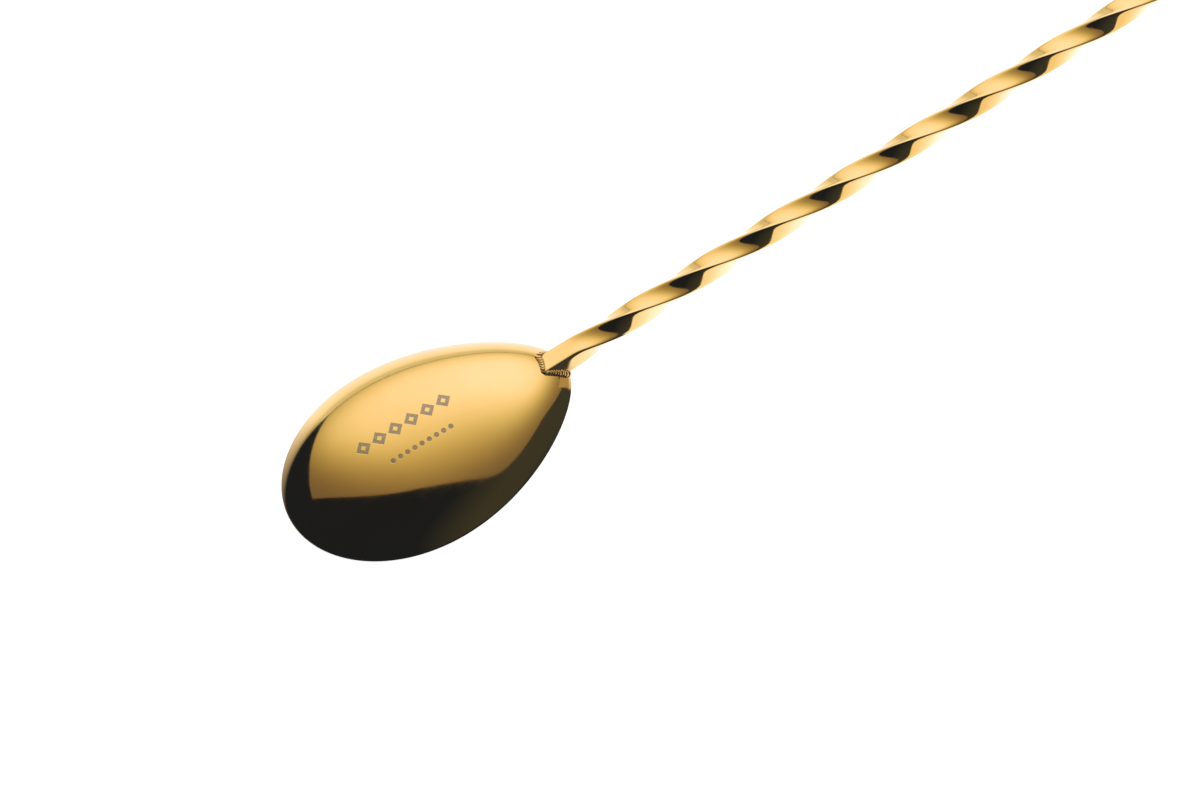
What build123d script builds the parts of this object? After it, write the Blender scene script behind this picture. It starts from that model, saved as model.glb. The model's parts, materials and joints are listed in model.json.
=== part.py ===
from build123d import *
import math
import os

# A bar spoon with a pressed bowl, a twisted square stem and a flat muddling disc.
#
# The spoon lies with its hollow side down: the bowl's rim rests on the plane z = 0, the convex back faces up,
# and the edge of the disc touches the same plane. +X runs from the bowl's tip to the disc, +Z is up, and the
# plane y = 0 halves the bowl. The origin is the centre of the footprint. All lengths are millimetres.

# ---- driving dimensions ----
overall_length = 300.0

bowl_length = 44.0
bowl_depth = 6.3
sheet_thickness = 1.0
rim_land = 1.2            # width of the flat ring the bowl rests on

# The rim's half width squared is length**2 * t * (1 - t) * (a + b*t + c*t*t), with t from 0 at the tip to 1.
rim_a = 0.484
rim_b = -0.049
rim_c = -0.214

# The back's height is sqrt(roundness**2 + q) - roundness, where q is zero along the rim.
dome_roundness = 5.0
dome_end_fullness = 0.70
dome_tip_bias = 0.08

bar_side = 3.0
bar_edge_radius = 0.14
twist_pitch = 46.0        # length of one whole turn, right-handed
start_angle = 30.0        # turn of the upper edge from +Z towards -Y where the bar meets the bowl
stem_rise = 2.2           # degrees the stem climbs towards the disc
stem_height_at_heel = 1.95
coped_length = 8.0        # bar length that reaches over the bowl before it is cut to the dome
straight_length = 1.5     # untwisted bar behind the heel
plain_end_length = 3.0    # untwisted bar in front of the disc

disc_thickness = 2.6
disc_edge_radius = 0.7
tenon_radius = 1.2
tenon_length = 1.7
tenon_clearance = 0.02

bowl_bead_width = 0.55
bowl_bead_floor = 0.35    # the bead's two legs stop this high above the rim plane
disc_bead_height = 1.3
disc_bead_foot_radius = 3.2
disc_bead_top_radius = 2.25

# ---- accuracy of the bowl's curved sheet ----
sheet_rows = 41
sheet_columns = 25
sheet_overhang = 0.5      # how far the sheet runs past the tip and the heel before it is trimmed
sheet_drop = 0.8          # share of roundness**2 by which the sheet runs below the rim
sheet_tolerance = 0.001

# ---- worked out from them ----
tip_x = -overall_length / 2
heel_x = tip_x + bowl_length
bowl_middle = Vector(tip_x + bowl_length / 2, 0, 0)
rise = math.radians(stem_rise)
disc_band = disc_thickness - 2 * disc_edge_radius

# Distances along the stem are counted from the heel. The far end of the disc sets the overall length.
reach = overall_length - bowl_length - disc_edge_radius
lift = (stem_height_at_heel - disc_edge_radius) * math.tan(rise)
disc_front = math.cos(rise) * (reach - lift - disc_band * math.cos(rise)) - disc_edge_radius

# The disc is just large enough for its inner rounded edge to touch the plane z = 0.
edge_centre_height = stem_height_at_heel + (disc_front + disc_edge_radius) * math.sin(rise)
disc_radius = disc_edge_radius + (edge_centre_height - disc_edge_radius) / math.cos(rise)

twist_length = disc_front - plain_end_length - straight_length
twist_angle = 360 * twist_length / twist_pitch
section_angle = start_angle + 45


def rim_shape(t):
    """The factor that makes the rim fuller towards the tip, at the share t of the bowl's length."""
    return rim_a + rim_b * t + rim_c * t * t


def rim_half_width_squared(x):
    """The square of the rim's half width at x from the tip. It is negative beyond the tip and the heel."""
    t = x / bowl_length
    return bowl_length**2 * t * (1 - t) * rim_shape(t)


def dome_fullness(t):
    """How much the ends of the dome are filled out compared with its middle."""
    s = 2 * t - 1
    return 1 + dome_end_fullness * s * s - dome_tip_bias * s


def dome_ridge(t):
    """The course of q along the middle of the back, before it is scaled to the bowl's depth."""
    return 4 * t * (1 - t) * dome_fullness(t)


ridge_top = max(dome_ridge(i / 400) for i in range(401))
ridge_scale = (bowl_depth**2 + 2 * bowl_depth * dome_roundness) / ridge_top
widest = math.sqrt(max(rim_half_width_squared(bowl_length * i / 400) for i in range(401)))


def dome_gain(x):
    """The growth of q for each square millimetre inside the rim, at x from the tip."""
    t = x / bowl_length
    return 4 * ridge_scale * dome_fullness(t) / (bowl_length**2 * rim_shape(t))


def dome_height(x, y):
    """The height of the bowl's back over the rim plane, at x from the tip and y from the middle."""
    q = dome_gain(x) * (rim_half_width_squared(x) - y * y)
    return math.sqrt(dome_roundness**2 + q) - dome_roundness


def dome_block(length_share, width_share, height_share):
    """The block under the bowl's back, scaled about the bowl's middle. It goes well below the rim plane."""
    rows = []
    for i in range(sheet_rows):
        along = -math.cos(math.pi * i / (sheet_rows - 1)) * (bowl_length / 2 + sheet_overhang)
        x = bowl_length / 2 + along
        half = math.sqrt(rim_half_width_squared(x) + sheet_drop * dome_roundness**2 / dome_gain(x))
        row = []
        for j in range(sheet_columns):
            y = half * (2 * j / (sheet_columns - 1) - 1)
            offset = Vector(along * length_share, y * width_share, dome_height(x, y) * height_share)
            row.append(bowl_middle + offset)
        rows.append(row)
    sheet = Face.make_surface_from_array_of_points(rows, tol=sheet_tolerance)
    return Solid.extrude(sheet, Vector(0, 0, -2 * bowl_depth))


def above(height):
    """A block around the whole spoon, of everything that is higher than the given height."""
    size = 2 * overall_length
    return Pos(0, 0, height) * Box(size, size, size, align=(Align.CENTER, Align.CENTER, Align.MIN))


# Local frame of the stem: z runs along it, x points up, y points towards -Y.
stem_plane = Plane(
    origin=(heel_x, 0, stem_height_at_heel),
    x_dir=(-math.sin(rise), 0, math.cos(rise)),
    z_dir=(math.cos(rise), 0, math.sin(rise)),
)
on_stem = stem_plane.location


def bar_section(growth, turn):
    """The bar's rounded square section, grown on all sides and turned about the stem's axis."""
    side = bar_side + 2 * growth
    return Rot(0, 0, turn) * RectangleRounded(side, side, bar_edge_radius + growth)


def straight_bar(start, end, growth, turn):
    """An untwisted length of bar between two distances from the heel."""
    return on_stem * Pos(0, 0, start) * extrude(bar_section(growth, turn), end - start)


# ---- bowl ----
bowl_block = dome_block(1, 1, 1)
solid_bowl = bowl_block & above(0)
hollow = dome_block(
    1 - 2 * rim_land / bowl_length,
    1 - rim_land / widest,
    1 - sheet_thickness / bowl_depth,
)
spoon_bowl = solid_bowl - hollow

# ---- stem ----
coped_end = straight_bar(-coped_length, straight_length, 0, section_angle) - bowl_block
twist_section = bar_section(0, section_angle).face()
twisted_bar = on_stem * Pos(0, 0, straight_length) * Solid.extrude_linear_with_rotation(
    section=twist_section,
    center=(0, 0, 0),
    normal=(0, 0, twist_length),
    angle=twist_angle,
)
plain_end = straight_bar(disc_front - plain_end_length, disc_front, 0, section_angle + twist_angle)
tenon = on_stem * Pos(0, 0, disc_front) * Cylinder(
    tenon_radius, tenon_length, align=(Align.CENTER, Align.CENTER, Align.MIN)
)
twisted_stem = coped_end + twisted_bar + plain_end + tenon

# ---- disc ----
disc_blank = Cylinder(disc_radius, disc_thickness, align=(Align.CENTER, Align.CENTER, Align.MIN))
disc_blank = fillet(disc_blank.edges(), disc_edge_radius)
socket = Cylinder(
    tenon_radius + tenon_clearance,
    tenon_length + tenon_clearance,
    align=(Align.CENTER, Align.CENTER, Align.MIN),
)
muddling_disc = on_stem * Pos(0, 0, disc_front) * (disc_blank - socket)

# ---- weld beads ----
grown_bowl = dome_block(
    1 + 2 * bowl_bead_width / bowl_length,
    1 + bowl_bead_width / widest,
    1 + bowl_bead_width / bowl_depth,
)
bowl_sleeve = straight_bar(-coped_length, straight_length, bowl_bead_width, section_angle) & grown_bowl
bar_core = straight_bar(-coped_length, straight_length, 0, section_angle)
bowl_weld = (bowl_sleeve & above(bowl_bead_floor)) - bowl_block - bar_core

disc_cone = on_stem * Pos(0, 0, disc_front) * Rot(180, 0, 0) * Cone(
    disc_bead_foot_radius,
    disc_bead_top_radius,
    disc_bead_height,
    align=(Align.CENTER, Align.CENTER, Align.MIN),
)
disc_weld = disc_cone - plain_end

nodes = {
    "spoon_bowl": spoon_bowl,
    "bowl_weld": bowl_weld,
    "twisted_stem": twisted_stem,
    "muddling_disc": muddling_disc,
    "disc_weld": disc_weld,
}

os.makedirs("parts", exist_ok=True)
for name, shape in nodes.items():
    export_step(shape, f"parts/{name}.step")
    box = shape.bounding_box()
    print(name, len(shape.solids()), "solid", round(shape.volume, 2), "mm3", box.min, box.max)
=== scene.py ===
import json
import math

import bmesh
import bpy
import numpy as np
from mathutils import Matrix, Vector


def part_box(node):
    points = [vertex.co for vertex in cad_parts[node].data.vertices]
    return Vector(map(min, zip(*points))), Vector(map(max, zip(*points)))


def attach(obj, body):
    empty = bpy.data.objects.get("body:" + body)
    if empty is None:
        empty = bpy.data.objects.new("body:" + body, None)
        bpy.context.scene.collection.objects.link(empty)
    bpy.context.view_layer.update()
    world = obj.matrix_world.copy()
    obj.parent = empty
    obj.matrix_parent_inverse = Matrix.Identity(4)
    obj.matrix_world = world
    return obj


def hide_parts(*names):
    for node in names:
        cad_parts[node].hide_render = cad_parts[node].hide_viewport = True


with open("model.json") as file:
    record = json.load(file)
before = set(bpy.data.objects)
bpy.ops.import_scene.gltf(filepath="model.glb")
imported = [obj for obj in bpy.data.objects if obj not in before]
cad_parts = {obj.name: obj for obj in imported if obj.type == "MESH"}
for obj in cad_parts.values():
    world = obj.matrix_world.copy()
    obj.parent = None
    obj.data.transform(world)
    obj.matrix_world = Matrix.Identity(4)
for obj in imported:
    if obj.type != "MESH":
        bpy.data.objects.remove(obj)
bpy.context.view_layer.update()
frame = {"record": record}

# Shapes are worked out in millimetres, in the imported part's frame, and written to the meshes in metres.
MM = 0.001


def node_box(name):
    """The lowest and the highest corner of a CAD node, in millimetres."""
    low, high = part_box(name)
    return np.array(low) / MM, np.array(high) / MM


mounts = {mount["name"]: mount for mount in frame["record"]["mounts"]}

# ---- sizes ----
bowl_low, bowl_high = node_box("spoon_bowl")
tip_x = bowl_low[0]
heel_x = bowl_high[0]
bowl_length = heel_x - tip_x
bowl_depth = bowl_high[2]
sheet_thickness = 1.0
rim_land = 1.2
rim_a, rim_b, rim_c = 0.484, -0.049, -0.214
outer_rounding = 0.42       # height at which the back starts to turn into the land
inner_rounding = 0.36       # height at which the hollow does
dome_roundness = 5.0
dome_end_fullness = 0.70
dome_tip_bias = 0.08

bar_side = 3.0
bar_sharpness = 9.0         # the superellipse's power: the higher, the sharper the bar's edges
root_sharpness = 8.0        # the same for the section that the beads run round
bar_points = 72
root_points = 400
twist_pitch = 46.0
twist_ease = 1.0            # the twist starts and ends softly over this distance each way
start_angle = 30.0
straight_length = 1.5
plain_end_length = 3.0
disc_thickness = 2.6
disc_edge_radius = 0.7

# The etched ornament. Starts are X positions and lines are Y positions.
lozenge_start = tip_x + 11.6
lozenge_pitch = 2.55
lozenge_count = 6
lozenge_width = 2.3
lozenge_height = 2.3
lozenge_hole = 0.37         # of a lozenge, as a share of its size
lozenge_blur = 0.05
lozenge_line = 2.05
dot_start = tip_x + 14.6
dot_pitch = 1.15
dot_count = 9
dot_radius = 0.36
dot_blur = 0.04
dot_line = -1.8

# The stem's axis is the line through the middle of the disc's outer face.
disc_centre = np.array(mounts["disc_face"]["pos_m"]) / MM
along_stem = np.array(mounts["disc_face"]["axis"])
up_stem = np.array([-along_stem[2], 0.0, along_stem[0]])
side_stem = np.array([0.0, -1.0, 0.0])
disc_back = (disc_centre[0] - heel_x) / along_stem[0]
disc_front = disc_back - disc_thickness
heel_point = disc_centre - along_stem * disc_back
disc_low, disc_high = node_box("muddling_disc")
disc_radius = (disc_high[1] - disc_low[1]) / 2


# ---- mesh helpers ----
def mesh_object(name, points, faces, wear_and_shade=None):
    """A smooth-shaded mesh object from points in millimetres, and a number per point for the plating's
    rubbing and painted shade.
    """
    mesh = bpy.data.meshes.new(name)
    mesh.from_pydata((np.asarray(points) * MM).tolist(), [], faces)
    mesh.polygons.foreach_set("use_smooth", [True] * len(mesh.polygons))
    if wear_and_shade is not None:
        attribute = mesh.attributes.new("wear_and_shade", "FLOAT", "POINT")
        attribute.data.foreach_set("value", np.asarray(wear_and_shade, np.float32).ravel())
    mesh.update()
    made = bpy.data.objects.new(name, mesh)
    bpy.context.scene.collection.objects.link(made)
    return made


def closed_rings(name, rings, start=None, end=None, wear_and_shade=None):
    """A skin over closed rings of points, with a fan of faces to a start and an end point if given."""
    count, columns = rings.shape[:2]
    points = list(rings.reshape(-1, 3))
    values = list(wear_and_shade.ravel()) if wear_and_shade is not None else None
    faces = []
    for i in range(count - 1):
        for j in range(columns):
            k = (j + 1) % columns
            faces.append((i * columns + j, i * columns + k, (i + 1) * columns + k, (i + 1) * columns + j))
    for pole, ring in ((start, 0), (end, count - 1)):
        if pole is None:
            continue
        hub = len(points)
        points.append(pole)
        if values is not None:
            values.append(0.0)
        for j in range(columns):
            a = ring * columns + j
            b = ring * columns + (j + 1) % columns
            faces.append((hub, b, a) if ring == 0 else (hub, a, b))
    return mesh_object(name, points, faces, values)


def finish_normals(thing, merge_distance=None):
    """Turns a closed mesh's faces to the outside. Points nearer than merge_distance metres become one."""
    work = bmesh.new()
    work.from_mesh(thing.data)
    if merge_distance is not None:
        bmesh.ops.remove_doubles(work, verts=work.verts, dist=merge_distance)
    bmesh.ops.recalc_face_normals(work, faces=work.faces)
    work.to_mesh(thing.data)
    work.free()


def unit(vectors):
    return vectors / np.linalg.norm(vectors, axis=-1, keepdims=True)


# ---- the bowl's surface ----
halvings = 40               # of a range, in the search for a crossing


def rim_shape(t):
    return rim_a + rim_b * t + rim_c * t * t


def dome_fullness(t):
    s = 2 * t - 1
    return 1 + dome_end_fullness * s * s - dome_tip_bias * s


ridge = np.linspace(0, 1, 401)
ridge_top = np.max(4 * ridge * (1 - ridge) * dome_fullness(ridge))
ridge_scale = (bowl_depth**2 + 2 * bowl_depth * dome_roundness) / ridge_top
widest = bowl_length * np.sqrt(np.max(ridge * (1 - ridge) * rim_shape(ridge)))


def back_height(x, y):
    """The height of the bowl's back over the rim plane, at x from the tip and y from the middle."""
    t = x / bowl_length
    inside = bowl_length**2 * t * (1 - t) * rim_shape(t) - y * y
    gain = 4 * ridge_scale * dome_fullness(t) / (bowl_length**2 * rim_shape(t))
    return np.sqrt(np.maximum(dome_roundness**2 + gain * inside, 0)) - dome_roundness


def back_normal(x, y):
    step = 0.01
    slope_x = (back_height(x + step, y) - back_height(x - step, y)) / (2 * step)
    slope_y = (back_height(x, y + step) - back_height(x, y - step)) / (2 * step)
    return unit(np.stack([-slope_x, -slope_y, np.ones_like(slope_x)], -1))


# ---- spoon bowl ----
def make_bowl():
    """The pressed sheet: the back, the rounded rim with its flat land, and the hollow, as one closed skin."""
    columns = 288
    back_rings = 96
    hollow_rings = 64
    edge_steps = 9
    probe = 0.001
    hub_share = 0.47            # where along the bowl the rings of the back have their middle
    middle = np.array([hub_share * bowl_length, 0.0])
    theta = np.linspace(0, 2 * math.pi, columns, endpoint=False)
    t = (1 - np.cos(theta)) / 2
    rim = np.stack([bowl_length * t, bowl_length / 2 * np.sin(theta) * np.sqrt(rim_shape(t))], -1)
    inner_scale = np.array([
        1 - 2 * rim_land / bowl_length,
        1 - rim_land / widest,
        1 - sheet_thickness / bowl_depth,
    ])
    inner_middle = np.array([bowl_length / 2, 0, 0])

    def back_at(share):
        xy = middle + np.asarray(share)[..., None] * (rim - middle)
        return np.concatenate([xy, back_height(xy[..., 0], xy[..., 1])[..., None]], -1)

    def hollow_at(share):
        return inner_middle + (back_at(share) - inner_middle) * inner_scale

    def share_at(height):
        low = np.full(columns, 0.5)
        high = np.ones(columns)
        for _ in range(halvings):
            half = (low + high) / 2
            above = back_at(half)[:, 2] > height
            low = np.where(above, half, low)
            high = np.where(above, high, half)
        return low

    def rounded(surface, share, direction):
        """Rings that turn from a surface into the land, towards the middle (-1) or away from it (1)."""
        start = surface(share)
        tangent = unit(start - surface(share - probe))
        corner = start + tangent * (start[:, 2] / -tangent[:, 2])[:, None]
        outwards = unit(tangent * [1, 1, 0])
        end = corner + direction * outwards * np.linalg.norm(corner - start, axis=1)[:, None]
        u = np.linspace(0, 1, edge_steps)[:, None, None]
        return (1 - u) ** 2 * start + 2 * u * (1 - u) * corner + u**2 * end

    outer_share = share_at(outer_rounding)
    inner_share = share_at(inner_rounding)
    spread = np.sin(np.linspace(0, math.pi / 2, back_rings + 1)[1:-1])
    back = back_at(outer_share * spread[:, None])
    outer_edge = rounded(back_at, outer_share, -1)
    inner_edge = rounded(hollow_at, inner_share, 1)[::-1]
    spread = np.sin(np.linspace(0, math.pi / 2, hollow_rings + 1)[1:-1])
    hollow = hollow_at(inner_share * spread[:, None])[::-1]
    rings = np.concatenate([back, outer_edge, inner_edge, hollow])
    wear_and_shade = np.zeros(rings.shape[:2])
    rings_before = 3
    first = len(back) - rings_before
    wear_and_shade[first:len(back) + 2 * edge_steps] = 1.0
    shift = np.array([tip_x, 0, 0])
    top = np.array([*middle, float(back_height(*middle))])
    under = inner_middle + (top - inner_middle) * inner_scale
    bowl = closed_rings("bowl_skin", rings + shift, top + shift, under + shift, wear_and_shade)
    finish_normals(bowl)
    return bowl


# ---- twisted stem ----
def bar_outline(count, sharpness):
    """A square with softly rounded edges, as a superellipse, and the wear of each point, 1 on its edges."""
    edge_crowding = 0.85
    worn_from, worn_to = 1.22, 1.32
    u = np.linspace(0, 2 * math.pi, count, endpoint=False)
    phi = u + edge_crowding * np.sin(4 * u) / 4
    reach = (np.abs(np.cos(phi)) ** sharpness + np.abs(np.sin(phi)) ** sharpness) ** (-1 / sharpness)
    outline = bar_side / 2 * reach[:, None] * np.stack([np.cos(phi), np.sin(phi)], -1)
    return outline, np.clip((reach - worn_from) / (worn_to - worn_from), 0, 1)


def eased(distance):
    """The distance past a point, or 0 before it, with a soft start over twist_ease each way."""
    soft = (distance + twist_ease) ** 2 / (4 * twist_ease)
    return np.where(distance < -twist_ease, 0.0, np.where(distance > twist_ease, distance, soft))


def bar_angle(s):
    """The turn of the bar's section, in radians, at the distance s from the heel."""
    twisted = eased(s - straight_length) - eased(s - (disc_front - plain_end_length))
    return np.radians(start_angle + 45 + 360 * twisted / twist_pitch)


def on_bar(outline, s):
    """Where the points of a section lie at the distances s from the heel."""
    angle = bar_angle(s)
    u = outline[..., 0] * np.cos(angle) - outline[..., 1] * np.sin(angle)
    v = outline[..., 0] * np.sin(angle) + outline[..., 1] * np.cos(angle)
    return heel_point + s[..., None] * along_stem + u[..., None] * up_stem + v[..., None] * side_stem


def meets_bowl(outline):
    """The distance from the heel at which each line of the bar goes into the bowl's back."""
    inside_bowl, past_heel = -9.0, 1.0
    low = np.full(len(outline), inside_bowl)
    high = np.full(len(outline), past_heel)
    for _ in range(halvings):
        half = (low + high) / 2
        points = on_bar(outline, half)
        outside = points[:, 2] > back_height(points[:, 0] - tip_x, points[:, 1])
        high = np.where(outside, half, high)
        low = np.where(outside, low, half)
    return high


def make_stem():
    """The twisted bar. Its first ring follows the bowl's back from just inside the sheet."""
    step = 0.28
    buried = 0.4
    straight_rings = 25
    outline, outline_wear = bar_outline(bar_points, bar_sharpness)
    coped = meets_bowl(outline) - buried
    twist_start = straight_length - twist_ease
    shares = np.linspace(0, 1, straight_rings + 1)[:-1, None]
    straight = coped * (1 - shares) + twist_start * shares
    stations = np.linspace(twist_start, disc_front, round((disc_front - twist_start) / step))
    s = np.concatenate([straight, np.repeat(stations[:, None], len(outline), axis=1)])
    rings = on_bar(outline, s)
    wear_and_shade = np.repeat(outline_wear[None, :], len(s), axis=0)
    stem = closed_rings("stem_skin", rings, rings[0].mean(0), rings[-1].mean(0), wear_and_shade)
    finish_normals(stem)
    return stem


# ---- weld beads ----
def make_bead(name, roots, up, out, widths, ripple_pitch, ripple_height, lean, closed, seed):
    """A rippled bead along a path of roots. up runs along the bar and out along the other piece.

    The ripples rise between up and out, and lean is how far they turn from there to the top. The dips between
    ripples are painted dark as shade, most of all towards the bead's feet. An open bead is thinnest, and
    painted dark as the shade of a pit, where it comes to its apex, and it fades out at its two ends.
    """
    arc_steps = 12
    fullness = 0.62             # of the bead's middle, as a share of its two widths added
    ripple_bow = 0.45           # how far the ends of a ripple lag behind its middle, in ripples
    ripple_jitter = 0.12
    foot_ripple, climb_ripple = 0.16, 0.12      # how much wider it is at a ripple's crest, each way
    size_jitter = 0.08
    end_size, fade_length = 0.12, 0.8
    apex_size, apex_length = 0.6, 3.0
    pit_shade_length = 0.4
    sunk = 0.12                 # how far the hidden side lies inside the bar and the other piece
    sunk_corner = 0.18
    sunk_reach = 0.7

    crest_way = unit(unit(out + up) + np.array([0, 0, lean]))
    count = len(roots)
    steps = np.linalg.norm(np.diff(roots, axis=0), axis=1)
    path = np.concatenate([[0], np.cumsum(steps)])
    length = path[-1] + (np.linalg.norm(roots[0] - roots[-1]) if closed else 0)
    ripples = round(length / ripple_pitch)
    random = np.random.default_rng(seed)
    jitter = np.interp(path, np.linspace(0, length, ripples), random.uniform(-1, 1, ripples))
    taper = np.ones(count)
    pit_shade = np.zeros(count)
    if not closed:
        from_apex = np.abs(path - path[np.argmin(roots[:, 0])])
        taper = np.clip(np.minimum(path, length - path) / fade_length, end_size, 1) ** 0.5
        taper = taper * np.clip(apex_size + (1 - apex_size) * from_apex / apex_length, 0, 1)
        # The apex is painted dark, as the shade of a pit.
        pit_shade = np.exp(-((from_apex / pit_shade_length) ** 2))

    tau = np.linspace(0, 1, arc_steps)
    towards_feet = (2 * tau - 1) ** 2
    # How strongly shade is painted into the dips between ripples: a little on the bead's middle, fully at its
    # feet.
    groove_shade_strength = 0.2 + 0.8 * towards_feet
    rings = []
    groove_shades = []
    for i in range(count):
        phase = ripples * path[i] / length + ripple_bow * towards_feet + ripple_jitter * jitter[i]
        crest = np.abs(np.cos(math.pi * phase)) ** 0.8
        foot = widths[0] * taper[i] * (1 + foot_ripple * crest[0] + size_jitter * jitter[i])
        climb = widths[1] * taper[i] * (1 + climb_ripple * crest[-1] - size_jitter * jitter[i])
        a = out[i] * foot
        b = up[i] * climb
        u = tau[:, None]
        arc = (1 - u) ** 2 * a + 2 * u * (1 - u) * fullness * (a + b) + u**2 * b
        swell = ripple_height * taper[i] * np.sin(math.pi * u) ** 0.6 * crest[:, None]
        hidden = [
            b * sunk_reach - out[i] * sunk,
            -sunk_corner * (out[i] + up[i]),
            a * sunk_reach - up[i] * sunk,
        ]
        rings.append(roots[i] + np.concatenate([arc + crest_way[i] * swell, hidden]))
        # Painted shade: dark in the dips between ripples, and all across at the apex.
        groove_shade = np.minimum(1.2 * (1 - crest), 1) * groove_shade_strength
        groove_shades.append(np.maximum(np.concatenate([groove_shade, np.ones(len(hidden))]), pit_shade[i]))
    rings = np.array(rings)
    groove_shades = np.array(groove_shades)
    if closed:
        rings = np.concatenate([rings, rings[:1]])
        groove_shades = np.concatenate([groove_shades, groove_shades[:1]])
        bead = closed_rings(name, rings, wear_and_shade=groove_shades)
    else:
        bead = closed_rings(name, rings, rings[0].mean(0), rings[-1].mean(0), groove_shades)
    finish_normals(bead, 1e-8)
    return bead


def resampled(points, spacing):
    """Points along a polyline at an even spacing."""
    path = np.concatenate([[0], np.cumsum(np.linalg.norm(np.diff(points, axis=0), axis=1))])
    places = np.linspace(0, path[-1], round(path[-1] / spacing) + 1)
    return np.stack([np.interp(places, path, points[:, i]) for i in range(3)], -1)


def make_bowl_weld():
    """The bead round the bar where it lies on the bowl's back. Its legs stop short of the rim's plane."""
    lowest_root = 0.62
    spacing = 0.045
    outline, _ = bar_outline(root_points, root_sharpness)
    s = meets_bowl(outline)
    roots = on_bar(outline, s)
    first = int(np.argmin(roots[:, 2]))
    roots = np.roll(roots, -first, axis=0)
    roots = resampled(roots[roots[:, 2] > lowest_root], spacing)
    tangent = unit(np.gradient(roots, axis=0))
    axis_point = heel_point + ((roots - heel_point) @ along_stem)[:, None] * along_stem
    from_axis = unit(roots - axis_point)
    surface = back_normal(roots[:, 0] - tip_x, roots[:, 1])
    out = unit(np.cross(tangent, surface))
    out = out * np.sign(np.sum(out * from_axis, -1))[:, None]
    up = unit(along_stem - np.sum(along_stem * tangent, -1)[:, None] * tangent)
    return make_bead(
        "bowl_bead", roots, up, out,
        widths=(0.60, 0.46), ripple_pitch=0.42, ripple_height=0.24, lean=1.3, closed=False, seed=11,
    )


def make_disc_weld():
    """The bead round the bar where it stands on the disc."""
    spacing = 0.05
    outline, _ = bar_outline(root_points, root_sharpness)
    roots = on_bar(outline, np.full(len(outline), disc_front))
    roots = resampled(np.concatenate([roots, roots[:1]]), spacing)[:-1]
    centre = heel_point + along_stem * disc_front
    out = unit(roots - centre)
    up = np.repeat(-along_stem[None, :], len(roots), axis=0)
    return make_bead(
        "disc_bead", roots, up, out,
        widths=(0.95, 0.9), ripple_pitch=0.5, ripple_height=0.12, lean=0.0, closed=True, seed=23,
    )


# ---- muddling disc ----
def make_disc():
    """The turned disc: two flat faces and a band between rounded edges."""
    columns = 256
    edge_steps = 8
    hub_radius, face_margin, face_rings = 0.6, 0.25, 14
    inner = disc_radius - disc_edge_radius
    face_radii = np.linspace(hub_radius, inner - face_margin, face_rings)
    profile = [(r, 0.0) for r in face_radii]
    for centre, first in ((disc_edge_radius, -90), (disc_thickness - disc_edge_radius, 0)):
        for i in range(edge_steps + 1):
            angle = math.radians(first + 90 * i / edge_steps)
            radius = inner + disc_edge_radius * math.cos(angle)
            profile.append((radius, centre + disc_edge_radius * math.sin(angle)))
    profile += [(r, disc_thickness) for r in face_radii[::-1]]
    theta = np.linspace(0, 2 * math.pi, columns, endpoint=False)
    radial = np.cos(theta)[:, None] * up_stem + np.sin(theta)[:, None] * side_stem
    front = heel_point + along_stem * disc_front
    rings = np.array([front + along_stem * s + radial * r for r, s in profile])
    wear_and_shade = np.array([[1.0 if 0 < s < disc_thickness else 0.0] * columns for r, s in profile])
    back = front + along_stem * disc_thickness
    disc = closed_rings("disc_skin", rings, front, back, wear_and_shade)
    finish_normals(disc)
    return disc


# ---- node helpers ----
def add(tree, kind, inputs=None, **settings):
    """A shader node. inputs maps a socket's name or number to a value or to another node's output."""
    made = tree.nodes.new(kind)
    for name, value in settings.items():
        setattr(made, name, value)
    for socket, value in (inputs or {}).items():
        if isinstance(value, bpy.types.NodeSocket):
            tree.links.new(value, made.inputs[socket])
        else:
            made.inputs[socket].default_value = value
    return made


def new_material(name):
    material = bpy.data.materials.new(name)
    material.use_nodes = True
    tree = material.node_tree
    tree.nodes.clear()
    return material, tree


def to_output(tree, shader, kind="ShaderNodeOutputMaterial"):
    tree.links.new(shader.outputs[0], add(tree, kind).inputs[0])


def maths(tree, operation, a, b=0.0, c=0.0):
    return add(tree, "ShaderNodeMath", {0: a, 1: b, 2: c}, operation=operation).outputs[0]


def vector_maths(tree, operation, a, b=(0, 0, 0), output="Vector"):
    return add(tree, "ShaderNodeVectorMath", {0: a, 1: b}, operation=operation).outputs[output]


def hypotenuse(tree, a, b):
    squares = maths(tree, "ADD", maths(tree, "MULTIPLY", a, a), maths(tree, "MULTIPLY", b, b))
    return maths(tree, "SQRT", squares)


def between(tree, value, low, high, new_low, new_high):
    """value moved from one range to another and held inside it."""
    inputs = {"Value": value, "From Min": low, "From Max": high, "To Min": new_low, "To Max": new_high}
    return add(tree, "ShaderNodeMapRange", inputs).outputs[0]


def noise(tree, vector, scale, detail=3.0, roughness=0.5):
    inputs = {"Vector": vector, "Scale": scale, "Detail": detail, "Roughness": roughness}
    return add(tree, "ShaderNodeTexNoise", inputs).outputs["Fac"]


def blended(tree, factor, a, b):
    """Colour a at factor 0 and colour b at factor 1."""
    made = add(tree, "ShaderNodeMix", data_type="RGBA")
    for socket, value in ((made.inputs[0], factor), (made.inputs[6], a), (made.inputs[7], b)):
        if isinstance(value, bpy.types.NodeSocket):
            tree.links.new(value, socket)
        else:
            socket.default_value = value
    return made.outputs[2]


GOLD = (1.0, 0.65, 0.25, 1)
GOLD_WARM = (0.97, 0.60, 0.21, 1)
GOLD_PALE = (1.0, 0.74, 0.40, 1)
# Painted shade on the weld beads, in the dips between ripples and at the apex.
WELD_SHADE = (0.10, 0.05, 0.015, 1)
ETCHED = (0.27, 0.22, 0.15, 1)


def even_grain(tree, place):
    return place


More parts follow.
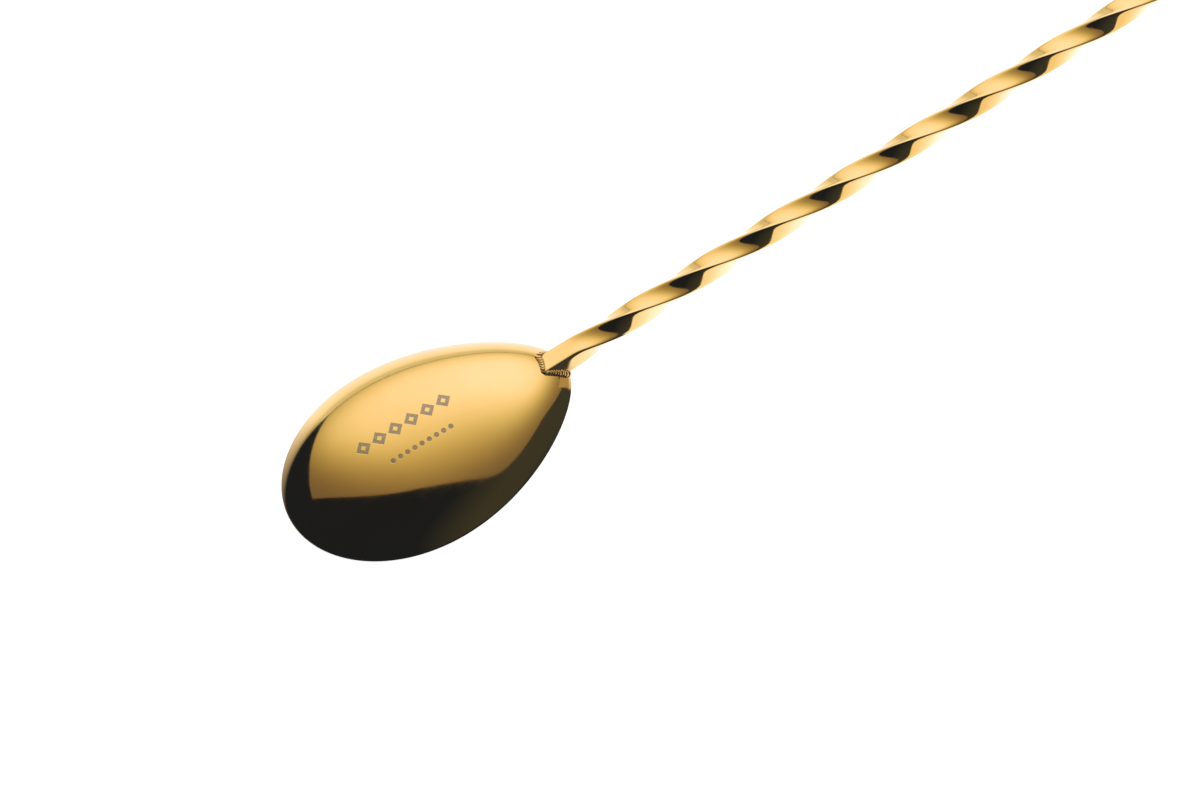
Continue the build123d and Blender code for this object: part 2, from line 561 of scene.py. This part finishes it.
def drawn_grain(tree, place):
    """Hairlines along the bar, from drawing it."""
    return add(tree, "ShaderNodeMapping", {"Vector": place, "Scale": (0.08, 1, 1)}).outputs[0]


def turned_grain(tree, place):
    """Fine rings about the stem's axis, from turning the disc on a lathe."""
    offset = vector_maths(tree, "SUBTRACT", place, disc_centre * MM)
    across_axis = vector_maths(tree, "CROSS_PRODUCT", offset, along_stem)
    radius = vector_maths(tree, "LENGTH", across_axis, output="Value")
    return add(tree, "ShaderNodeCombineXYZ", {"X": radius}).outputs[0]


def gold(name, grain, hairline, undulation, roughness, wear_and_shade_colour, wear_and_shade_share, etching=None):
    """Polished gold plating with blotches, hairlines and pits, and a second colour where the number per point
    is greatest. That number is rubbing on rounded corners, and painted shade on the weld beads.

    Two shares give the least and the most of that second colour there. The scales of the noise are in cells
    per metre, and the heights of the relief in millimetres.
    """
    material, tree = new_material(name)
    place = add(tree, "ShaderNodeTexCoord").outputs["Object"]
    pit_roughness = 0.05
    hairline_relief = 0.006
    blotch = noise(tree, place, scale=70.0, detail=4.0, roughness=0.55)
    hair = noise(tree, grain(tree, place), scale=900.0, detail=5.0, roughness=0.7)
    pits = noise(tree, place, scale=5200.0, detail=2.0, roughness=0.5)
    wave = noise(tree, place, scale=150.0, detail=1.0, roughness=0.4)
    # A number per point: rubbing on rounded corners, and on the weld beads painted shade.
    wear_and_shade = add(tree, "ShaderNodeAttribute", attribute_name="wear_and_shade").outputs["Fac"]
    colour = blended(tree, between(tree, blotch, 0.35, 0.7, 0.0, 1.0), GOLD, GOLD_WARM)
    wear_and_shade_mix = maths(tree, "MULTIPLY", wear_and_shade, between(tree, hair, 0.35, 0.65, *wear_and_shade_share))
    colour = blended(tree, wear_and_shade_mix, colour, wear_and_shade_colour)
    rough = between(tree, hair, 0.42, 0.72, roughness, roughness + hairline)
    rough = maths(tree, "ADD", rough, between(tree, pits, 0.62, 0.72, 0.0, pit_roughness))
    height = maths(tree, "MULTIPLY", wave, undulation)
    height = maths(tree, "ADD", height, maths(tree, "MULTIPLY", hair, hairline * hairline_relief))
    if etching:
        etched_roughness = 0.32
        etched_depth = 0.012
        mark = etching(tree, place)
        frost = noise(tree, place, scale=9000.0, detail=2.0, roughness=0.6)
        matt = blended(tree, between(tree, frost, 0.35, 0.65, 0.0, 0.45), ETCHED, GOLD_PALE)
        colour = blended(tree, mark, colour, matt)
        rough = maths(tree, "ADD", rough, maths(tree, "MULTIPLY", mark, etched_roughness))
        height = maths(tree, "SUBTRACT", height, maths(tree, "MULTIPLY", mark, etched_depth))
    bump = add(tree, "ShaderNodeBump", {"Height": height, "Strength": 1.0, "Distance": MM})
    shader = add(tree, "ShaderNodeBsdfPrincipled", {
        "Base Color": colour,
        "Metallic": 1.0,
        "Roughness": rough,
        "Normal": bump.outputs[0],
        "Coat Weight": 0.35,
        "Coat Roughness": 0.04,
    })
    to_output(tree, shader)
    return material


def ornament(tree, place):
    """The mark etched into the bowl's back, 1 inside it: a row of hollow lozenges over a row of dots."""
    part = add(tree, "ShaderNodeSeparateXYZ", {0: place})
    x = maths(tree, "DIVIDE", part.outputs["X"], MM)
    y = maths(tree, "DIVIDE", part.outputs["Y"], MM)
    facing = add(tree, "ShaderNodeSeparateXYZ", {0: add(tree, "ShaderNodeTexCoord").outputs["Normal"]})
    on_back = maths(tree, "GREATER_THAN", facing.outputs["Z"], 0.0)

    def row(start, pitch, count, middle):
        """Where a point lies in its cell of a row, and whether it lies in the row at all."""
        cells = maths(tree, "DIVIDE", maths(tree, "SUBTRACT", x, start), pitch)
        across_cell = maths(tree, "SUBTRACT", maths(tree, "FRACT", cells), 0.5)
        across_cell = maths(tree, "ABSOLUTE", maths(tree, "MULTIPLY", across_cell, pitch))
        after = maths(tree, "GREATER_THAN", cells, 0.0)
        inside = maths(tree, "MULTIPLY", after, maths(tree, "LESS_THAN", cells, float(count)))
        return across_cell, maths(tree, "ABSOLUTE", maths(tree, "SUBTRACT", y, middle)), inside

    px, py, inside = row(lozenge_start, lozenge_pitch, lozenge_count, lozenge_line)
    across_share = maths(tree, "DIVIDE", px, lozenge_width / 2)
    up_share = maths(tree, "DIVIDE", py, lozenge_height / 2)
    spread = maths(tree, "ADD", across_share, up_share)
    filled = between(tree, spread, 1 - lozenge_blur, 1 + lozenge_blur, 1.0, 0.0)
    hollow = between(tree, spread, lozenge_hole - lozenge_blur, lozenge_hole + lozenge_blur, 0.0, 1.0)
    lozenge = maths(tree, "MULTIPLY", maths(tree, "MULTIPLY", filled, hollow), inside)
    px, py, inside = row(dot_start, dot_pitch, dot_count, dot_line)
    radius = hypotenuse(tree, px, py)
    round_mark = between(tree, radius, dot_radius - dot_blur, dot_radius + dot_blur, 1.0, 0.0)
    dot = maths(tree, "MULTIPLY", round_mark, inside)
    return maths(tree, "MULTIPLY", maths(tree, "MAXIMUM", lozenge, dot), on_back)


# ---- pieces ----
bowl = make_bowl()
stem = make_stem()
disc = make_disc()
bowl_weld = make_bowl_weld()
disc_weld = make_disc_weld()

bowl_gold = gold(
    "bowl_plating", even_grain, hairline=0.05, undulation=0.012, roughness=0.07,
    wear_and_shade_colour=GOLD_PALE, wear_and_shade_share=(0.3, 0.8), etching=ornament,
)
stem_gold = gold(
    "stem_plating", drawn_grain, hairline=0.06, undulation=0.006, roughness=0.07,
    wear_and_shade_colour=GOLD_PALE, wear_and_shade_share=(0.3, 0.8),
)
disc_gold = gold(
    "disc_plating", turned_grain, hairline=0.08, undulation=0.004, roughness=0.07,
    wear_and_shade_colour=GOLD_PALE, wear_and_shade_share=(0.3, 0.8),
)
# On the welds the second colour is painted shade: dark in the dips between ripples, at the feet and at the
# apex.
weld_gold = gold(
    "weld_plating", even_grain, hairline=0.10, undulation=0.010, roughness=0.22,
    wear_and_shade_colour=WELD_SHADE, wear_and_shade_share=(0.75, 1.0),
)

for piece, material, node, slot in (
    (bowl, bowl_gold, "spoon_bowl", "bowl_plating"),
    (stem, stem_gold, "twisted_stem", "stem_plating"),
    (disc, disc_gold, "muddling_disc", "disc_plating"),
    (bowl_weld, weld_gold, "bowl_weld", "weld_plating"),
    (disc_weld, weld_gold, "disc_weld", "weld_plating"),
):
    piece.data.materials.append(material)
    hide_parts(node)
    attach(piece, "root")

# ---- camera ----
heading = math.radians(32.3)
elevation = math.radians(64.3)
roll = math.radians(1.42)
picture_width = 162.26      # millimetres across the picture, at the point the camera aims at
aim_right, aim_up, aim_below = 41.3, 17.1, 4.4     # from the bowl's tip to that point, in the camera's axes
lens = 180.0
sensor = 36.0
across = np.array([math.cos(heading), -math.sin(heading), 0.0])
away = np.array([math.sin(heading), math.cos(heading), 0.0])
towards = np.array([-away[0] * math.cos(elevation), -away[1] * math.cos(elevation), math.sin(elevation)])
level_up = np.cross(towards, across)
right = across * math.cos(roll) - level_up * math.sin(roll)
upward = across * math.sin(roll) + level_up * math.cos(roll)
tip_point = np.array([tip_x, 0.0, 0.0])
aim = tip_point + right * aim_right + upward * aim_up - towards * aim_below
eye = aim + towards * picture_width * lens / sensor
camera_data = bpy.data.cameras.new("camera")
camera_data.lens = lens
camera_data.sensor_width = sensor
camera_data.clip_end = 100
camera = bpy.data.objects.new("camera", camera_data)
bpy.context.scene.collection.objects.link(camera)
turned = Matrix([list(v) for v in np.stack([right, upward, towards], 1)]).to_4x4()
camera.matrix_world = Matrix.Translation(Vector(eye * MM)) @ turned
bpy.context.scene.camera = camera

# ---- light tent, floor and world ----
bowl_middle = np.array([tip_x + bowl_length / 2, 0.0, 0.0]) * MM
tent_height = 0.9           # metres

# The tent's walls and lower hem, as shares of its height. The camera's side is open.
tent_left, tent_right, tent_far, tent_hem = -2.7, 2.6, 2.6, 0.02
tent_far_left = -1.6

# The roof's front edge runs straight from its left end to a bend, and then bows towards the camera.
front_left, front_bend, front_right = (-1.45, 0.0), (0.25, -0.18), (tent_right, -0.03)
front_bow = 0.48
front_skew = 1.15           # above 1 the bow is deepest right of its middle
front_steps = 16
roof_waist = (-1.8, 1.0)    # the corner in its left side

# The cloth is brightest about one direction. Away from it blue fades first, and green a little before red.
TENT_CORE = (1.22, 1.19, 1.45)
TENT_DIM = (0.16, 0.135, 0.11)
tent_halfway = (41.5, 41.5, 32)     # degrees from there to where red, green and blue have half faded
tent_softness = (9, 8.5, 8)     # degrees
tent_stop_pitch = 5             # degrees


def stage_panel(name, corners, material):
    """A flat card of the studio. The camera doesn't see it and it casts no shadow."""
    mesh = bpy.data.meshes.new(name)
    mesh.from_pydata([list(corner) for corner in corners], [], [tuple(range(len(corners)))])
    mesh.materials.append(material)
    panel = bpy.data.objects.new(name, mesh)
    bpy.context.scene.collection.objects.link(panel)
    panel.visible_camera = False
    panel.visible_shadow = False
    return panel


def tent_point(u, v, z):
    """A point u to the right, v away from the camera and z up, each as a share of the tent's height."""
    return bowl_middle + tent_height * (across * u + away * v + np.array([0, 0, z]))


def colour_ramp(tree, factor, stops):
    ramp = add(tree, "ShaderNodeValToRGB", {"Fac": factor})
    elements = ramp.color_ramp.elements
    while len(elements) < len(stops):
        elements.new(0.5)
    for element, (position, colour) in zip(elements, stops):
        element.position = position
        element.color = (*colour, 1)
    return ramp.outputs["Color"]


def glowing(name, build):
    """A material that only gives off light. build takes the node tree and returns the colour of the light."""
    material, tree = new_material(name)
    glow = add(tree, "ShaderNodeEmission", {"Color": build(tree), "Strength": 1.0})
    to_output(tree, glow)
    return material


def tent_colour(degrees):
    """The cloth's colour at an angle from its brightest direction."""
    colour = []
    for core, dim, halfway, softness in zip(TENT_CORE, TENT_DIM, tent_halfway, tent_softness):
        faded = 1 / (1 + math.exp((halfway - degrees) / softness))
        colour.append(core + (dim - core) * faded)
    return colour


def tent_light(tree):
    """Cloth lit from behind: brightest about one direction, warm and dim far from it, and dimmer low down."""
    last_stop = 90
    azimuth, height, lean = math.radians(78), math.radians(38), math.radians(150)
    stretch = 1.3
    flat = across * math.cos(azimuth) + away * math.sin(azimuth)
    level = -across * math.sin(azimuth) + away * math.cos(azimuth)
    centre = flat * math.cos(height) + np.array([0, 0, math.sin(height)])
    steep = np.cross(centre, level)
    long_axis = level * math.cos(lean) + steep * math.sin(lean)
    short_axis = -level * math.sin(lean) + steep * math.cos(lean)
    place = add(tree, "ShaderNodeNewGeometry").outputs["Position"]
    ray = vector_maths(tree, "NORMALIZE", vector_maths(tree, "SUBTRACT", place, bowl_middle))
    forwards = vector_maths(tree, "DOT_PRODUCT", ray, centre, "Value")
    along = vector_maths(tree, "DOT_PRODUCT", ray, long_axis / stretch, "Value")
    aside = vector_maths(tree, "DOT_PRODUCT", ray, short_axis * stretch, "Value")
    angle = maths(tree, "ARCTAN2", hypotenuse(tree, along, aside), forwards)
    stops = [(turn / last_stop, tent_colour(turn)) for turn in range(0, last_stop + 1, tent_stop_pitch)]
    light = colour_ramp(tree, maths(tree, "DIVIDE", angle, math.radians(last_stop)), stops)
    upwards = add(tree, "ShaderNodeSeparateXYZ", {0: ray}).outputs["Z"]
    faded = between(tree, upwards, -0.02, 0.06, 0.75, 1.0)
    return blended(tree, faded, (0, 0, 0, 1), light)


tent_cloth = glowing("tent_cloth", tent_light)
front_edge = [front_left]
for i in range(front_steps + 1):
    share = i / front_steps
    bow = front_bow * math.sin(math.pi * share**front_skew)
    u = front_bend[0] + (front_right[0] - front_bend[0]) * share
    v = front_bend[1] + (front_right[1] - front_bend[1]) * share - bow
    front_edge.append((u, v))
roof_outline = front_edge + [(tent_right, tent_far), (tent_left, tent_far), roof_waist]
stage_panel("tent_roof", [tent_point(u, v, 1) for u, v in roof_outline], tent_cloth)
stage_panel("tent_far_wall", [
    tent_point(tent_left, tent_far, 1), tent_point(tent_right, tent_far, 1),
    tent_point(tent_right, tent_far, tent_hem), tent_point(tent_far_left, tent_far, tent_hem),
], tent_cloth)
stage_panel("tent_right_wall", [
    tent_point(tent_right, tent_far, 1), tent_point(*front_right, 1),
    tent_point(tent_right, 0.55, 0.35), tent_point(tent_right, 0.92, tent_hem),
    tent_point(tent_right, tent_far, tent_hem),
], tent_cloth)


ROOM_DARK = (0.0115, 0.0175, 0.040, 1)
ROOM_DIM = (0.043, 0.053, 0.062, 1)
HEEL_SHADE = (0.42, 0.35, 0.21, 1)
FAR_TABLE = (0.70, 0.74, 0.61)
STEM_LIFT = (1.3, 1.3, 1.9)
CARD_TOP = (0.94, 0.90, 0.70, 1)
CARD_FOOT = (1.30, 1.30, 1.75, 1)

lit_reach_at_heel = 4.0         # how far in front of the spoon's middle the table is lit beside the heel
steep_widening = 1.2            # how much farther it is lit for each millimetre past the heel, seen steeply
low_widening = 0.18             # the same, seen low over the table
low_from, low_to = 0.62, 0.74   # the slants between which a look at the table turns from steep to low
side_from, side_to = 0.35, 0.7  # the slants between which a look at the card turns to one from its side
card_distance = 6.0             # from the spoon's middle to the low card along the stem
card_fade_height = 5.0
card_ends = ((10.0, 1.6), (190.0, 0.5))     # distance along the stem, and the card's height over its axis
sheen_half = 0.8                # metres
floor_half = 3.0                # metres
sheen_depth = 0.0001            # metres under the floor

# Below, the first two numbers after the value in between() are where a change of light starts and where it
# is complete. For x, y and a distance they are in millimetres.


def slant_of(tree):
    """0 where a surface is looked at squarely and 1 where the look only grazes it."""
    return add(tree, "ShaderNodeLayerWeight", {"Blend": 0.5}).outputs["Facing"]


def from_spoon(tree, x, y):
    """How far a point of the table is from the stem's line, and from the whole spoon's outline."""
    before_stem = maths(tree, "MAXIMUM", maths(tree, "SUBTRACT", heel_x, x), 0.0)
    from_stem = maths(tree, "ADD", maths(tree, "ABSOLUTE", y), before_stem)
    along = maths(tree, "DIVIDE", maths(tree, "SUBTRACT", x, tip_x + bowl_length / 2), bowl_length / 2)
    radius = hypotenuse(tree, along, maths(tree, "DIVIDE", y, widest))
    from_bowl = maths(tree, "MULTIPLY", maths(tree, "SUBTRACT", radius, 1.0), widest)
    return from_stem, maths(tree, "MINIMUM", from_stem, from_bowl)


def lit_table(tree, x, y):
    """The lit part: bright close to the spoon, brightest along the stem, and still pale far behind it."""
    from_stem, distance = from_spoon(tree, x, y)
    stops = (
        (0.00, (1.10, 1.11, 1.20)),
        (0.03, (1.08, 1.09, 1.10)),
        (0.14, (0.92, 0.94, 0.76)),
        (0.25, (0.70, 0.64, 0.40)),
        (0.60, (0.54, 0.45, 0.22)),
        (1.00, (0.46, 0.37, 0.17)),
    )
    ramp_length = 100.0
    light = colour_ramp(tree, maths(tree, "DIVIDE", distance, ramp_length), stops)
    behind = between(tree, y, 2.0, 20.0, 0.0, 1.0)
    light = blended(tree, behind, light, vector_maths(tree, "MAXIMUM", light, FAR_TABLE))
    beside_stem = between(tree, x, heel_x, heel_x + 8, 0.0, 1.0)
    narrower_behind = between(tree, y, -1.0, 1.0, 0.0, 3.5)
    near_stem = between(tree, maths(tree, "ADD", from_stem, narrower_behind), 9.0, 6.0, 0.0, 1.0)
    lifted = vector_maths(tree, "MULTIPLY", light, STEM_LIFT)
    return blended(tree, maths(tree, "MULTIPLY", beside_stem, near_stem), light, lifted)


def table_light(tree):
    """What the plating sees of the table: lit round the spoon, and dark beyond its tip and farther in front.

    In front of the spoon it is dimmer beside the heel, and wherever it is seen low. So the bowl's heel
    doesn't mirror the bright table along the stem.
    """
    place = add(tree, "ShaderNodeSeparateXYZ", {0: add(tree, "ShaderNodeNewGeometry").outputs["Position"]})
    x = maths(tree, "DIVIDE", place.outputs["X"], MM)
    y = maths(tree, "DIVIDE", place.outputs["Y"], MM)
    slant = slant_of(tree)
    in_front = between(tree, y, -0.3, -1.3, 0.0, 1.0)
    at_heel = between(tree, x, heel_x + 1, heel_x - 1.5, 0.0, 1.0)
    seen_low = between(tree, slant, low_from, low_to, 0.0, 1.0)
    dimmed = maths(tree, "MULTIPLY", in_front, maths(tree, "MAXIMUM", at_heel, seen_low))
    light = blended(tree, dimmed, lit_table(tree, x, y), HEEL_SHADE)

    past_heel = maths(tree, "MAXIMUM", maths(tree, "SUBTRACT", x, heel_x), 0.0)
    widening = between(tree, slant, low_from, low_to, steep_widening, low_widening)
    lit_reach = maths(tree, "MULTIPLY_ADD", past_heel, widening, lit_reach_at_heel)
    lit_reach = maths(tree, "MINIMUM", lit_reach, card_distance + 1)
    unlit = between(tree, maths(tree, "ADD", y, lit_reach), 0.3, -0.3, 0.0, 1.0)
    beyond_tip = between(tree, x, tip_x + 11, tip_x - 1.5, 0.0, 1.0)
    dark = blended(tree, between(tree, x, tip_x + 22, heel_x - 2, 0.0, 1.0), ROOM_DARK, ROOM_DIM)
    return blended(tree, maths(tree, "MAXIMUM", beyond_tip, unlit), light, dark)


def card_light(tree):
    """Paler towards the table, and as dim as the table beside the heel for a look from the card's side."""
    place = add(tree, "ShaderNodeSeparateXYZ", {0: add(tree, "ShaderNodeNewGeometry").outputs["Position"]})
    lower = between(tree, place.outputs["Z"], 0.0, card_fade_height * MM, 1.0, 0.0)
    squarely = blended(tree, lower, CARD_TOP, CARD_FOOT)
    from_side = between(tree, slant_of(tree), side_from, side_to, 0.0, 1.0)
    return blended(tree, from_side, squarely, HEEL_SHADE)


def table_corners(half, height):
    return [(-half, -half, height), (half, -half, height), (half, half, height), (-half, half, height)]


# The plating sees this glowing sheet in place of the floor, and the floor isn't lit by it.
sheen_corners = table_corners(sheen_half, -sheen_depth)
sheen = stage_panel("table_sheen", sheen_corners, glowing("table_light", table_light))
sheen.visible_diffuse = False

# A low card close in front of the stem lights the faces that turn towards the table.
card_feet = []
card_tops = []
for distance, overtop in card_ends:
    axis_point = heel_point + along_stem * distance
    card_feet.append((axis_point[0] * MM, -card_distance * MM, 0.0))
    card_tops.append((axis_point[0] * MM, -card_distance * MM, (axis_point[2] + overtop) * MM))
card = stage_panel("stem_card", card_feet + card_tops[::-1], glowing("card_light", card_light))
card.visible_diffuse = False


def white_table():
    """Plain white paper with a faint grain. It glows a little, which keeps it clean of hard shadows."""
    material, tree = new_material("white_table")
    grain = noise(tree, add(tree, "ShaderNodeTexCoord").outputs["Object"], 40.0, 3.0)
    tone = between(tree, grain, 0.3, 0.7, 0.80, 0.82)
    colour = add(tree, "ShaderNodeCombineColor", {0: tone, 1: tone, 2: tone}).outputs[0]
    shader = add(tree, "ShaderNodeBsdfPrincipled", {
        "Base Color": colour,
        "Roughness": 0.9,
        "Emission Color": (1, 1, 1, 1),
        "Emission Strength": 0.92,
    })
    to_output(tree, shader)
    return material


# The floor is the one panel that the camera sees, and the plating sees the sheet under it instead.
floor = stage_panel("floor", table_corners(floor_half, 0.0), white_table())
floor.visible_camera = True
floor.visible_glossy = False
floor.visible_shadow = True


def room_light():
    """A dark room, a little lighter to the right, and pure white where the camera sees past the table."""
    world = bpy.data.worlds.new("studio")
    world.use_nodes = True
    tree = world.node_tree
    tree.nodes.clear()
    lighter_side = across - 0.3 * away
    direction = add(tree, "ShaderNodeTexCoord").outputs["Generated"]
    sideways = vector_maths(tree, "DOT_PRODUCT", direction, lighter_side, "Value")
    dark = blended(tree, between(tree, sideways, 0.62, 0.95, 0.0, 1.0), ROOM_DARK, ROOM_DIM)
    seen = add(tree, "ShaderNodeLightPath").outputs["Is Camera Ray"]
    room = blended(tree, seen, dark, (1.0, 1.0, 1.0, 1))
    background = add(tree, "ShaderNodeBackground", {"Color": room, "Strength": 1.0})
    to_output(tree, background, "ShaderNodeOutputWorld")
    return world


bpy.context.scene.world = room_light()
bpy.context.scene.view_settings.view_transform = "Standard"
